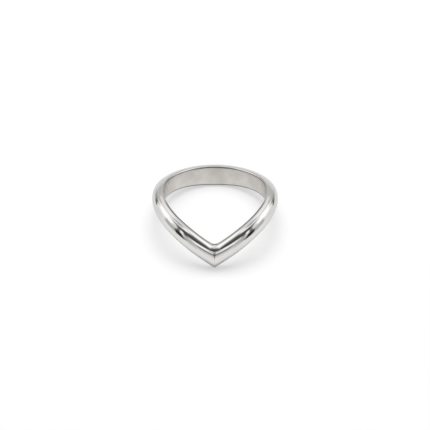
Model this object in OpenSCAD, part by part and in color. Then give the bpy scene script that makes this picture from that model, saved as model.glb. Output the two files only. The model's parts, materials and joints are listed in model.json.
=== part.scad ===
// Chevron ring, also called a wishbone ring: one closed band of silver wire with a soft
// D section, whose front is bent down to a V. It is drawn lying on its side as it lies by
// itself, on the point of the V and the lower edge of the back.

/* [Finger hole] */
// Diameter of the finger hole
hole_d = 17.3; // [14:0.1:22]
// How much deeper the wall of the hole lies inside the V than round the back
v_ease = 0.02; // [0.01:0.01:0.03]

/* [Band] */
// Thickness of the band, from the finger hole to the crown of its dome
band_t = 1.95; // [1.4:0.05:2.6]
// Width of the band at the back, along the finger
shank_w = 3.6; // [2.4:0.1:5]
// Width of the band at the sides, and straight across an arm of the V
arm_w = 3.2; // [2.2:0.1:5]
// Angle from the point of the V at which the band starts to broaden towards the back
broad_from = 130; // [100:5:150]
// How much lower the middle of the band lies at the back than at the sides
back_drop = 0.15; // [0:0.05:0.3]
// Radius of the rounded edges of the finger hole
edge_r = 0.3; // [0.2:0.05:0.5]
// Thickness of the flat side of the band, between the rounded edge and the dome
side_t = 0.25; // [0.1:0.05:0.5]

/* [Chevron] */
// How far the middle of the band hangs below the sides at the point of the V
v_depth = 6.6; // [3:0.1:8]
// Angle from the point at which the straight arm starts to turn level
arm_end = 24; // [12:1:50]
// Angle from the point at which the band is level
level_from = 110; // [80:1:140]
// Length of the rounding on each side of the notch, at the upper edge of the V
notch_l = 0.7; // [0.3:0.1:1.5]
// How much lower the point of the V reaches than the straight lower edges of its arms
point_drop = 0.15; // [0:0.05:0.3]
// Length of that lower stretch on each side of the point
point_l = 2.1; // [1:0.1:4]

/* [Fineness] */
// Angle between two cross-sections round the band
turn_step = 3; // [2:1:5]
// Angle between two cross-sections at the point of the V
point_step = 1.5; // [0.5:0.5:1.5]
// Number of steps from the side of the band up to the crown of its dome
dome_steps = 6; // [3:1:9]

/* [Hidden] */

hole_r = hole_d / 2;
dome_t = band_t - edge_r - side_t;
edge_steps = 3;
quarter = 90;
// the sweep starts this share of an edge step inside the hole, where the bore cuts it clean
run_in = 1.25;
// angle from the point of the V to the back
back_a = 180;
// cross-sections are close together for this angle on each side of the point
point_zone = 6;
// angle from the point at which the V's own hole wall ends, between two cross-sections
v_wall = (floor(2 * arm_end / turn_step) + 0.5) * turn_step;
notch_a = notch_l / hole_r * 180 / PI;
point_a = point_l / hole_r * 180 / PI;
hole_l = 4 * (v_depth + shank_w + arm_w);
hole_fn = 240;
// rounds in which the lean at rest is worked out
settle_rounds = 6;

// drop of a straight arm, in mm for each degree round the finger
arm_drop = 2 * v_depth / (arm_end + level_from);
// lean of a straight arm, as drawn on the wall of the finger hole
arm_lean = atan(arm_drop * 180 / PI / hole_r);

// 1 on the straight arms, falling evenly to 0 where the band is level; a is the angle
// from the point of the V
function steep(a) = max(0, min(1, (level_from - abs(a)) / (level_from - arm_end)));

// 0 at the sides, rising softly to 1 at the back
function broad(a) =
    let (t = max(0, (abs(a) - broad_from) / (back_a - broad_from)))
    t * t * (3 - 2 * t);

// height of the middle of the band, 0 at the sides
function middle_z(a) =
    abs(a) < arm_end
    ? arm_drop * abs(a) - v_depth
    : -arm_drop * (level_from - arm_end) / 2 * pow(steep(a), 2) - back_drop * broad(a);

// half of the band's height along the finger: a leaning arm is cut at a slant, so it is
// taller than it is wide, and the two arms meet in a mitre
function half_height(a) =
    let (width = arm_w + (shank_w - arm_w) * broad(a))
    width / 2 * sqrt(1 + pow(tan(arm_lean) * steep(a), 2));

// the upper edge is lifted close to the point, which rounds the notch of the V
function notch_lift(a) = arm_drop * notch_a / 2 * pow(max(0, 1 - abs(a) / notch_a), 2);

// the lower edge is drawn down close to the point, which sharpens it
function point_pull(a) = point_drop * pow(max(0, 1 - abs(a) / point_a), 2);

// a point of the rounded edge: distance out from the hole, distance above the band's side
function edge_point(q) = [edge_r * (1 - cos(q)), -edge_r * (1 - sin(q))];

// the section of the upper half, from the hole out to the crown of the dome: distance out
// from the hole, share of the half height, distance above that share
edge_start = edge_point(0) + run_in * (edge_point(0) - edge_point(quarter / edge_steps));
upper_half = concat(
    [[edge_start.x, 1, edge_start.y]],
    [for (i = [1 : edge_steps])
        let (p = edge_point(quarter * i / edge_steps))
        [p.x, 1, p.y]],
    [for (i = [0 : dome_steps - 1])
        let (q = quarter * (1 - i / dome_steps))
        [edge_r + side_t + dome_t * cos(q), sin(q), 0]]
);
crown = [[band_t, 0, 0]];
lower_half = [for (i = [len(upper_half) - 1 : -1 : 0]) upper_half[i]];

// one cross-section of the band, a degrees round from the point of the V; the lift and the
// pull at the point fade out towards the crown
function cross_section(a) =
    let (
        tall = half_height(a),
        lift = notch_lift(a),
        pull = point_pull(a),
        outline = concat(
            [for (p = upper_half) [hole_r + p.x, p.y * tall + pow(p.y, 2) * lift + p.z]],
            [for (p = crown) [hole_r + p.x, 0]],
            [for (p = lower_half) [hole_r + p.x, -p.y * tall - pow(p.y, 2) * pull - p.z]]
        )
    )
    [for (p = outline) [p.x * sin(a), -p.x * cos(a), middle_z(a) + p.y]];

half_turn = concat(
    [for (a = [0 : point_step : point_zone]) a],
    [for (a = [point_zone + turn_step : turn_step : back_a - turn_step / 2]) a],
    [back_a]
);
turn = concat(half_turn, [for (i = [len(half_turn) - 2 : -1 : 1]) -half_turn[i]]);
sections = [for (a = turn) cross_section(a)];

// height and place towards the back of a point, once the band leans by the given angle
function leaning_z(p, lean) = p.z * cos(lean) - p.y * sin(lean);
function leaning_y(p, lean) = p.y * cos(lean) + p.z * sin(lean);

// the point of a cross-section that comes lowest at the given lean
function lowest(section, lean) =
    let (heights = [for (p = section) leaning_z(p, lean)])
    section[search([min(heights)], heights)[0]];

// the lean at which the point of the V and the back are equally low
function rest_lean(lean, rounds) =
    let (
        tip = lowest(sections[0], lean),
        back = lowest(sections[len(half_turn) - 1], lean)
    )
    rounds < 1 ? lean : rest_lean(atan((back.z - tip.z) / (back.y - tip.y)), rounds - 1);

lean = rest_lean(0, settle_rounds);
floor_z = min([for (s = sections) for (p = s) leaning_z(p, lean)]);
all_y = [for (s = sections) for (p = s) leaning_y(p, lean)];
middle_y = (min(all_y) + max(all_y)) / 2;

// the band swept once round the finger, before the finger hole is cut
module swept_band() {
    count = len(sections[0]);
    last = len(sections);
    polyhedron(
        points = [for (s = sections) for (p = s) p],
        faces = [
            for (i = [0 : last - 1])
                for (k = [0 : count - 1])
                    let (
                        next_i = (i + 1) % last,
                        next_k = (k + 1) % count
                    )
                    [
                        i * count + k,
                        next_i * count + k,
                        next_i * count + next_k,
                        i * count + next_k
                    ]
        ],
        convexity = 4
    );
}

// the round hole for the finger, with the wall inside the V a hair deeper
module finger_hole() {
    rotate([0, 0, turn_step / 2])
        cylinder(h = hole_l, r = hole_r, center = true, $fn = hole_fn);
    rotate([0, 0, -quarter - v_wall])
        translate([0, 0, -hole_l / 2])
            rotate_extrude(angle = 2 * v_wall, $fn = hole_fn)
                square([hole_r + v_ease, hole_l]);
}

module ring_band() {
    color("silver")
        translate([0, -middle_y, -floor_z])
            rotate([-lean, 0, 0])
                difference() {
                    swept_band();
                    finger_hole();
                }
}

ring_band();
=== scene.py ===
import json
import math

import bmesh
import bpy
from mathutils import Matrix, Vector


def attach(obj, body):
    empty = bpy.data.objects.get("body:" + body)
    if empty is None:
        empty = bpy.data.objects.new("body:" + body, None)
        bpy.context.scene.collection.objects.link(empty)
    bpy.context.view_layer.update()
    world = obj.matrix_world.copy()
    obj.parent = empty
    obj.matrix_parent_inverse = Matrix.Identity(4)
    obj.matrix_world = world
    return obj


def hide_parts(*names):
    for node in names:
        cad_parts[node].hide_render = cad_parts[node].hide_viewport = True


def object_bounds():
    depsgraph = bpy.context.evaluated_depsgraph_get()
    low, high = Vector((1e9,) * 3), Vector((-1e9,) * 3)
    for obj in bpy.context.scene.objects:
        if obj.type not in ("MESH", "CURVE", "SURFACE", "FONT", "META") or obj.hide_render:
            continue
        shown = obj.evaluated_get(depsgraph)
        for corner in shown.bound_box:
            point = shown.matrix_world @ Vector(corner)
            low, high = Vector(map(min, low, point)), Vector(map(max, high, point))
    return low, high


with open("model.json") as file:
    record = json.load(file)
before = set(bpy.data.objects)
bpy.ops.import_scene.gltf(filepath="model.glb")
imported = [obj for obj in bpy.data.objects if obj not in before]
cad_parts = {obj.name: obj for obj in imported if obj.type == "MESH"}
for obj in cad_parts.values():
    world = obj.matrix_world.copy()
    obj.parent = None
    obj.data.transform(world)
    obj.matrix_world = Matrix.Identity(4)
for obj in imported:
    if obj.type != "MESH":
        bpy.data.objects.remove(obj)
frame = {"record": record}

cad_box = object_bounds()

# The band: one closed ring of sterling silver. D-section wire is bent to a V and its two arms are
# soldered in a mitre at the point, where a fine dark line is painted down the crease: a painted
# reflection of the crease. It lies by itself, on the point of the V and on the edge of the back,
# so the finger hole leans back.

hole = frame["record"]["mounts"][0]
hole_r = hole["dims"]["r_mm"] / 1000
hole_middle = Vector(hole["pos_m"])
lean = math.atan2(hole["axis"][1], hole["axis"][2])

band_t = (cad_box[1].x - cad_box[0].x) / 2 - hole_r
shank_w = 0.0036
arm_w = 0.0032
broad_from = math.radians(130)
back_drop = 0.00015
edge_r = 0.0003
side_t = 0.00025
v_depth = 0.0066
arm_end = math.radians(24)
level_from = math.radians(110)
notch_l = 0.0007
point_drop = 0.00015
point_l = 0.0021

dome_t = band_t - edge_r - side_t
arm_drop = 2 * v_depth / (arm_end + level_from)
arm_slope = arm_drop / hole_r

# margins for picking out points: a length, a length within which two points are one, an angle
near = 0.00001
same_place = 0.000001
near_turn = 0.001


def steep(turn):
    """1 on the straight arms, falling evenly to 0 where the band is level."""
    return max(0, min(1, (level_from - turn) / (level_from - arm_end)))


def broad(turn):
    """0 at the sides, rising softly to 1 at the back."""
    share = max(0, (turn - broad_from) / (math.pi - broad_from))
    return share * share * (3 - 2 * share)


def drop(turn):
    """How far the middle of the band hangs below the sides, a turn away from the point."""
    if turn < arm_end:
        return v_depth - arm_drop * turn
    return arm_drop * (level_from - arm_end) / 2 * steep(turn) ** 2 + back_drop * broad(turn)


def half_height(turn):
    """Half the height of the band: a leaning arm is cut at a slant, so it is taller."""
    width = arm_w + (shank_w - arm_w) * broad(turn)
    return width / 2 * math.sqrt(1 + (arm_slope * steep(turn)) ** 2)


def notch_lift(turn):
    """The upper edge is filed round in the notch of the V."""
    notch_a = notch_l / hole_r
    return arm_drop * notch_a / 2 * max(0, 1 - turn / notch_a) ** 2


def point_pull(turn):
    """The lower edge reaches a little further down at the point of the V."""
    return point_drop * max(0, 1 - turn * hole_r / point_l) ** 2


def turn_of(place):
    """The angle round the finger between a place and the point of the V."""
    return math.atan2(abs(place.x), -place.y)


def select(wanted):
    """In edit mode, selects the vertices whose place is wanted, and nothing else."""
    bpy.ops.mesh.select_all(action="DESELECT")
    form = bmesh.from_edit_mesh(bpy.context.object.data)
    for v in form.verts:
        v.select_set(wanted(v.co))
    form.select_flush_mode()
    bmesh.update_edit_mesh(bpy.context.object.data)


def draw_section():
    """Half of the wire's outline at the point: dome, flat sides, round edges, inner wall."""
    dome_y = -(hole_r + edge_r + side_t)
    bpy.ops.mesh.primitive_circle_add(
        vertices=24, radius=dome_t, location=(0, dome_y, 0), rotation=(0, math.radians(90), 0)
    )
    bpy.ops.object.transform_apply(location=True, rotation=True, scale=True)
    bpy.ops.object.mode_set(mode="EDIT")
    bpy.ops.mesh.select_mode(type="VERT")
    bpy.ops.transform.resize(value=(1, 1, arm_w / 2 / dome_t), center_override=(0, dome_y, 0))
    select(lambda p: p.y > dome_y + near)
    bpy.ops.mesh.delete(type="VERT")
    select(lambda p: p.y > dome_y - near)
    bpy.ops.mesh.extrude_vertices_move(TRANSFORM_OT_translate={"value": (0, side_t + edge_r, 0)})
    bpy.ops.mesh.edge_face_add()
    bpy.ops.mesh.bevel(affect="VERTICES", offset=edge_r, segments=4, profile=0.5)
    select(lambda p: p.y > -hole_r - near)
    bpy.ops.mesh.subdivide(number_cuts=6)


def sweep_half_way():
    """Carries the section round one arm, in short steps at the point and longer ones behind."""
    bpy.ops.mesh.select_all(action="SELECT")
    for steps, degrees in ((4, 2), (10, 10), (48, 168)):
        bpy.ops.mesh.spin(
            steps=steps, angle=math.radians(degrees), center=(0, 0, 0), axis=(0, 0, 1)
        )
    form = bmesh.from_edit_mesh(bpy.context.object.data)
    return sorted({round(turn_of(v.co), 4) for v in form.verts})


def stretch_edge(turn, side, far):
    """Moves one half of a section along the finger: its edge most, and its crown not at all."""
    form = bmesh.from_edit_mesh(bpy.context.object.data)
    here = [v.co.z for v in form.verts if abs(turn_of(v.co) - turn) < near_turn]
    rows = sorted({round(z, 7) for z in here if z * side > near}, key=abs, reverse=True)
    for row in rows:
        select(lambda p: abs(turn_of(p) - turn) < near_turn and abs(p.z - row) < same_place)
        share = row / half_height(turn)
        bpy.ops.transform.translate(value=(0, 0, side * far * share**2))


def bend_to_v(turns):
    """Gives each section its height and hangs it where the V has it."""
    for turn in turns:
        select(lambda p: abs(turn_of(p) - turn) < near_turn)
        taller = half_height(turn) / (arm_w / 2)
        bpy.ops.transform.resize(value=(1, 1, taller), center_override=(0, 0, 0))
        for side, far in ((1, notch_lift(turn)), (-1, point_pull(turn))):
            if far > 0:
                stretch_edge(turn, side, far)
        select(lambda p: abs(turn_of(p) - turn) < near_turn)
        bpy.ops.transform.translate(value=(0, 0, -drop(turn)))


bpy.ops.object.select_all(action="DESELECT")
draw_section()
bend_to_v(sweep_half_way())
bpy.ops.object.mode_set(mode="OBJECT")
band = bpy.context.object
band.name = band.data.name = "silver_band"

mirror = band.modifiers.new("other arm", "MIRROR")
mirror.merge_threshold = same_place
bpy.ops.object.modifier_apply(modifier=mirror.name)
bpy.ops.object.mode_set(mode="EDIT")
bpy.ops.mesh.select_all(action="SELECT")
bpy.ops.mesh.remove_doubles(threshold=same_place)
bpy.ops.mesh.normals_make_consistent(inside=False)
bpy.ops.object.mode_set(mode="OBJECT")

smooth = band.modifiers.new("smooth", "SUBSURF")
smooth.levels = smooth.render_levels = 2
bpy.ops.object.modifier_apply(modifier=smooth.name)

# smoothing has drawn the band in by a hair, so it is brought back to a hair inside its size
grown = 0.9995 * (hole_r + band_t) / max(v.co.x for v in band.data.vertices)
wall_r = hole_r * grown
band.scale = [grown] * 3
band.rotation_euler.x = -lean
band.location = hole_middle
bpy.ops.object.transform_apply(location=True, rotation=True, scale=True)
bpy.ops.object.shade_smooth()

polish_tone = (0.92, 0.91, 0.89, 1)
satin_dark = (0.715, 0.688, 0.65, 1)
satin_light = (0.84, 0.812, 0.774, 1)
# painted dark lines, standing for dark reflections: along the inner edge, on the rounded edge inside
# the V, and down the crease of the point
painted_rim_line_tone = (0.1, 0.097, 0.093, 1)
painted_arm_edge_tone = (0.12, 0.117, 0.112, 1)
painted_crease_tone = (0.05, 0.05, 0.05, 1)
patches_per_metre = 340
line_depth = 0.0000003
# size and place of the painted dark reflection down the crease of the point
crease_line_w = 0.00042
crease_line_l = 0.0011
crease_line_end = -v_depth - 0.0001


def feed(socket, value):
    """Gives a socket a plain value, or joins it to another socket."""
    if isinstance(value, bpy.types.NodeSocket):
        socket.id_data.links.new(value, socket)
    else:
        socket.default_value = value


def sum_of(operation, *values):
    """One sum, from sockets and plain numbers."""
    tree = next(v for v in values if isinstance(v, bpy.types.NodeSocket)).id_data
    node = tree.nodes.new("ShaderNodeMath")
    node.operation = operation
    for socket, value in zip(node.inputs, values):
        feed(socket, value)
    return node.outputs[0]


def product_of(first, *others):
    """The product of sockets that are masks."""
    for other in others:
        first = sum_of("MULTIPLY", first, other)
    return first


def ramp(value, start, end, foot=0, top=1, kind="SMOOTHSTEP"):
    """From foot, where value is start, to top, where it is end."""
    node = value.id_data.nodes.new("ShaderNodeMapRange")
    node.interpolation_type = kind
    for name, given in (
        ("Value", value),
        ("From Min", start),
        ("From Max", end),
        ("To Min", foot),
        ("To Max", top),
    ):
        feed(node.inputs[name], given)
    return node.outputs["Result"]


def blended(share, first, second, kind="FLOAT"):
    """The first value where share is 0, the second where it is 1."""
    node = share.id_data.nodes.new("ShaderNodeMix")
    node.data_type = kind
    for name, value in (("Factor", share), ("A", first), ("B", second)):
        feed(node.inputs[name], value)
    return node.outputs["Result"]


def hairlines():
    """Fine polishing lines: noise drawn out along X of the place that it is given."""
    group = bpy.data.node_groups.new("hairlines", "ShaderNodeTree")
    for name, kind, value in (
        ("Place", "NodeSocketVector", (0, 0, 0)),
        ("Lines per metre", "NodeSocketFloat", 30000.0),
        ("Length", "NodeSocketFloat", 40.0),
    ):
        group.interface.new_socket(name, in_out="INPUT", socket_type=kind).default_value = value
    group.interface.new_socket("Lines", in_out="OUTPUT", socket_type="NodeSocketFloat")
    given = group.nodes.new("NodeGroupInput").outputs
    factors = group.nodes.new("ShaderNodeCombineXYZ")
    factors.inputs["Y"].default_value = factors.inputs["Z"].default_value = 1
    feed(factors.inputs["X"], sum_of("DIVIDE", 1, given["Length"]))
    drawn = group.nodes.new("ShaderNodeVectorMath")
    drawn.operation = "MULTIPLY"
    feed(drawn.inputs[0], given["Place"])
    feed(drawn.inputs[1], factors.outputs[0])
    noise = group.nodes.new("ShaderNodeTexNoise")
    noise.inputs["Detail"].default_value = 3
    noise.inputs["Roughness"].default_value = 0.6
    feed(noise.inputs["Vector"], drawn.outputs[0])
    feed(noise.inputs["Scale"], given["Lines per metre"])
    feed(group.nodes.new("NodeGroupOutput").inputs["Lines"], noise.outputs["Fac"])
    return group


def painted_rim_line_mask(reach):
    """A painted dark reflection: a sharp dark line where the satin wall meets the polished edge."""
    inner = ramp(reach, wall_r + edge_r * 0.01, wall_r + edge_r * 0.025)
    outer = ramp(reach, wall_r + edge_r * 0.06, wall_r + edge_r * 0.17, 1, 0)
    return product_of(inner, outer)


def painted_arm_edge_mask(across, ahead, reach):
    """A painted dark reflection on the rounded edge inside the V: the silver there is painted near
    black.

    It is a little wider in the notch than along the arms.
    """
    in_notch = ramp(sum_of("ABSOLUTE", across), notch_l * 0.2, notch_l * 1.1, side_t * 0.9, 0)
    past_edge = sum_of("SUBTRACT", reach, in_notch)
    inner = ramp(reach, wall_r + edge_r * 0.01, wall_r + edge_r * 0.025)
    outer = ramp(past_edge, wall_r + edge_r, wall_r + edge_r + side_t, 1, 0)
    arms_only = ramp(ahead, -hole_r * 0.55, -hole_r * 0.2, 1, 0)
    return product_of(inner, outer, arms_only)


def painted_crease_mask(across, ahead, along, reach):
    """A painted dark reflection down the crown of the point, where the arms meet in the mitre, that
    tapers to nothing.
    """
    half_width = ramp(along, crease_line_end, crease_line_end + crease_line_l, 0, crease_line_w / 2, "LINEAR")
    beside = sum_of("SUBTRACT", half_width, sum_of("ABSOLUTE", across))
    on_crease_line = ramp(beside, -crease_line_w / 8, crease_line_w / 8)
    below_top = ramp(along, crease_line_end + crease_line_l, crease_line_end + crease_line_l * 1.5, 1, 0)
    outside = ramp(reach, hole_r + edge_r + side_t, hole_r + band_t / 2)
    in_front = ramp(ahead, -hole_r, 0, 1, 0)
    return product_of(on_crease_line, below_top, outside, in_front)


def silver():
    """Polished silver outside, satin silver on the wall of the finger hole."""
    made = bpy.data.materials.new("silver")
    made.use_nodes = True
    nodes = made.node_tree.nodes
    metal = nodes["Principled BSDF"]
    metal.inputs["Metallic"].default_value = 1

    # places in the ring's own frame: the finger axis is Z and the point of the V is at -Y
    upright = nodes.new("ShaderNodeMapping")
    upright.vector_type = "TEXTURE"
    upright.inputs["Location"].default_value = hole_middle
    upright.inputs["Rotation"].default_value = (-lean, 0, 0)
    feed(upright.inputs["Vector"], nodes.new("ShaderNodeTexCoord").outputs["Object"])
    split = nodes.new("ShaderNodeSeparateXYZ")
    feed(split.inputs[0], upright.outputs[0])
    across, ahead, along = split.outputs
    reach = sum_of("SQRT", sum_of("ADD", sum_of("POWER", across, 2), sum_of("POWER", ahead, 2)))
    wall = ramp(reach, wall_r + edge_r * 0.1, wall_r + edge_r * 0.6, 1, 0)

    # the wall unrolled: X runs round the finger, Y along it
    unrolled = nodes.new("ShaderNodeCombineXYZ")
    feed(unrolled.inputs["X"], sum_of("MULTIPLY", sum_of("ARCTAN2", across, ahead), hole_r))
    feed(unrolled.inputs["Y"], along)

    fine = nodes.new("ShaderNodeGroup")
    fine.node_tree = hairlines()
    feed(fine.inputs["Place"], upright.outputs[0])
    brushed = nodes.new("ShaderNodeGroup")
    brushed.node_tree = fine.node_tree
    brushed.inputs["Length"].default_value = 60
    feed(brushed.inputs["Place"], unrolled.outputs[0])
    polished_rough = ramp(fine.outputs["Lines"], 0.35, 0.75, 0.05, 0.11, "LINEAR")
    satin_rough = ramp(brushed.outputs["Lines"], 0.3, 0.7, 0.27, 0.34, "LINEAR")
    feed(metal.inputs["Roughness"], blended(wall, polished_rough, satin_rough))

    # the satin is a little uneven, in soft patches a few millimetres wide
    patches = nodes.new("ShaderNodeTexNoise")
    patches.noise_dimensions = "4D"
    patches.inputs["W"].default_value = 3
    patches.inputs["Scale"].default_value = patches_per_metre
    patches.inputs["Detail"].default_value = 2
    feed(patches.inputs["Vector"], unrolled.outputs[0])
    patchy = ramp(patches.outputs["Fac"], 0.35, 0.65)

    tone = blended(wall, polish_tone, blended(patchy, satin_dark, satin_light, "RGBA"), "RGBA")
    # the painted dark reflections are laid over the silver's own tone
    for mask, strength, darker in (
        (painted_rim_line_mask(reach), 1, painted_rim_line_tone),
        (painted_arm_edge_mask(across, ahead, reach), 0.85, painted_arm_edge_tone),
        (painted_crease_mask(across, ahead, along, reach), 0.62, painted_crease_tone),
    ):
        tone = blended(sum_of("MULTIPLY", mask, strength), tone, darker, "RGBA")
    feed(metal.inputs["Base Color"], tone)

    bump = nodes.new("ShaderNodeBump")
    bump.inputs["Distance"].default_value = line_depth
    bump.inputs["Strength"].default_value = 1
    feed(bump.inputs["Height"], blended(wall, fine.outputs["Lines"], brushed.outputs["Lines"]))
    feed(metal.inputs["Normal"], bump.outputs["Normal"])
    return made


band.data.materials.clear()
band.data.materials.append(silver())
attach(band, "root")
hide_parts("ring_band")

# The table: plain white acrylic lit softly from below, larger than what the camera sees of it,
# with the ring in its middle. The glow from below keeps the shadow of the band pale. The silver
# sees the table darker than the camera does, and its glow hardly at all.

sheet_w = 0.16
sheet_tone = 0.29
glow = 0.53
tone_in_silver = 0.42
painted_shadow_in_silver = 0.365
glow_in_silver = 0.08
bpy.ops.object.select_all(action="DESELECT")
bpy.ops.mesh.primitive_plane_add(size=sheet_w, location=(0, 0, 0))
sheet = bpy.context.object
sheet.name = "light_table"
acrylic = bpy.data.materials.new("white acrylic")
acrylic.use_nodes = True
nodes = acrylic.node_tree.nodes
matt = nodes["Principled BSDF"]
matt.inputs["Roughness"].default_value = 1
matt.inputs["Specular IOR Level"].default_value = 0
matt.inputs["Emission Strength"].default_value = 1

# beside the ring and behind its point, the table as the silver sees it has a painted shadow: its tone
# is painted darker there
spot = nodes.new("ShaderNodeSeparateXYZ")
feed(spot.inputs[0], nodes.new("ShaderNodeTexCoord").outputs["Object"])
beside = ramp(sum_of("ABSOLUTE", spot.outputs["X"]), 0.009, 0.015)
behind_point = ramp(spot.outputs["Y"], -0.007, 0.003)
shaded = blended(product_of(beside, behind_point), tone_in_silver, painted_shadow_in_silver)

in_silver = nodes.new("ShaderNodeLightPath").outputs["Is Glossy Ray"]
feed(matt.inputs["Base Color"], blended(in_silver, sheet_tone, shaded))
feed(matt.inputs["Emission Color"], blended(in_silver, glow, glow_in_silver))
sheet.data.materials.append(acrylic)

# The light: a white studio tent with soft boxes at the sides and dark cards at the front, which
# draw the dark lines in the polished silver, and one wide soft light overhead for the shadow.

tent_white = 0.9
lamp_behind = math.radians(17)
lamp_up = 0.5
lamp_w = 0.5
lamp_watts = 3.8


def card_group():
    """A card: where it is and how bright, from foot to top; heights and sides are in degrees."""
    group = bpy.data.node_groups.new("studio card", "ShaderNodeTree")
    for name in ("Height", "Side", "Low", "High", "From", "To", "Soft", "Foot", "Top"):
        group.interface.new_socket(name, in_out="INPUT", socket_type="NodeSocketFloat")
    for name in ("Mask", "Brightness"):
        group.interface.new_socket(name, in_out="OUTPUT", socket_type="NodeSocketFloat")
    given = group.nodes.new("NodeGroupInput").outputs
    out = group.nodes.new("NodeGroupOutput").inputs
    masks = []
    for greater, smaller in (("Height", "Low"), ("High", "Height"), ("Side", "From"), ("To", "Side")):
        inside = sum_of("SUBTRACT", given[greater], given[smaller])
        masks.append(ramp(sum_of("DIVIDE", inside, given["Soft"]), -0.5, 0.5))
    feed(out["Mask"], product_of(*masks))
    ends = [given[name] for name in ("Low", "High", "Foot", "Top")]
    feed(out["Brightness"], ramp(given["Height"], *ends, "LINEAR"))
    return group


world = bpy.data.worlds.new("studio")
bpy.context.scene.world = world
world.use_nodes = True
nodes = world.node_tree.nodes
way = nodes.new("ShaderNodeSeparateXYZ")
feed(way.inputs[0], nodes.new("ShaderNodeTexCoord").outputs["Generated"])
height = sum_of("DEGREES", sum_of("ARCSINE", way.outputs["Z"]))
front = sum_of("MULTIPLY", way.outputs["Y"], -1)
side = sum_of("DEGREES", sum_of("ARCTAN2", sum_of("ABSOLUTE", way.outputs["X"]), front))

# side is 0 at the camera's side and 180 behind the ring; a later card covers an earlier one
card = card_group()
light = tent_white
for name, low, high, start, end, soft, foot, top in (
    ("back wall", -12, 42, 132, 190, 8, 0.44, 0.52),
    ("back wall, high up", 42, 86, 130, 190, 8, 0.7, 0.62),
    ("middle of the back wall", 30, 67, 162, 190, 6, 0.7, 1.0),
    ("foot of the back wall", -12, 13, 154, 190, 5, 0.72, 0.6),
    ("back of the top", 71, 84, 152, 190, 8, 0.28, 0.24),
    ("edge of the back top", 65, 73, 165, 190, 5, 0.45, 0.4),
    ("soft box", 20, 100, 76, 138, 12, 1.1, 1.0),
    ("top of the soft box", 61, 92, 94, 138, 8, 0.78, 0.96),
    ("corner of the soft box", 20, 33, 120, 134, 7, 0.56, 0.8),
    ("side wall", -8, 28, 60, 90, 8, 0.4, 0.5),
    ("side wall, upper part", 28, 50, 60, 73, 6, 0.64, 0.7),
    ("wall under the soft box", -8, 20, 88, 118, 7, 0.68, 0.78),
    ("wing of the hood", 51, 78, 42, 66, 7, 0.06, 0.13),
    ("end of the hood", 57, 78, 62, 84, 10, 0.24, 0.28),
    ("fringe of the hood", 58, 80, 80, 102, 12, 0.48, 0.46),
    ("hood", 46, 80, -10, 44, 6, 0.05, 0.1),
    ("gap under the hood", 28, 47, -10, 52, 5, 0.58, 0.68),
    ("middle of the gap", 28, 47, -10, 17, 5, 0.72, 1.05),
    ("tail of the hood", 33, 52, 30, 43, 5, 0.3, 0.05),
    ("light strip", 14, 50, 41, 50, 4, 0.45, 1.1),
    ("front wall", -8, 28, -10, 30, 6, 0.84, 0.36),
    ("shelf", 19, 29, -10, 16, 5, 0.22, 0.18),
    ("side of the front wall", -6, 28, 27, 42, 6, 0.66, 0.34),
    ("foot of the front post", 2, 14, 40, 50, 6, 0.3, 0.2),
    ("front post", -10, 26, 47, 64, 6, 0.03, 0.02),
    ("front post, upper part", 24, 56, 51, 60, 5, 0.12, 0.2),
    ("side of the back post", 0, 22, 128, 146, 8, 0.34, 0.34),
    ("back post", -12, 8, 119, 132, 6, 0.06, 0.1),
    ("back post, upper part", 3, 22, 125, 135, 7, 0.14, 0.3),
):
    shape = nodes.new("ShaderNodeGroup")
    shape.node_tree = card
    shape.label = name
    for socket, value in zip(shape.inputs, (height, side, low, high, start, end, soft, foot, top)):
        feed(socket, value)
    light = blended(shape.outputs["Mask"], light, shape.outputs["Brightness"])

# the camera itself sees plain white behind the table
seen = nodes.new("ShaderNodeLightPath").outputs["Is Camera Ray"]
feed(nodes["Background"].inputs["Color"], blended(seen, light, 1))

bpy.ops.object.light_add(
    type="AREA",
    location=(0, lamp_up * math.tan(lamp_behind), lamp_up),
    rotation=(-lamp_behind, 0, 0),
)
overhead = bpy.context.object
overhead.name = "overhead"
overhead.data.shape = "DISK"
overhead.data.size = lamp_w
overhead.data.energy = lamp_watts
overhead.visible_glossy = False

# The camera looks down at the angle of the photograph, from far away through a long lens, so the
# near and the far side of the ring keep one scale. It aims just below the finger hole's middle.

camera_height = math.radians(45.6)
camera_aside = math.radians(0.4)
lens = 1000
sensor_w = 36
view_w = 0.0725
hole_above_middle = 0.00302
bpy.ops.object.camera_add(rotation=(math.radians(90) - camera_height, 0, camera_aside))
camera = bpy.context.object
camera.data.lens = lens
camera.data.sensor_width = sensor_w
turned = camera.rotation_euler.to_matrix()
away = view_w * lens / sensor_w
camera.location = hole_middle + turned @ Vector((0, -hole_above_middle, away))
bpy.context.scene.camera = camera
bpy.context.scene.view_settings.view_transform = "Standard"
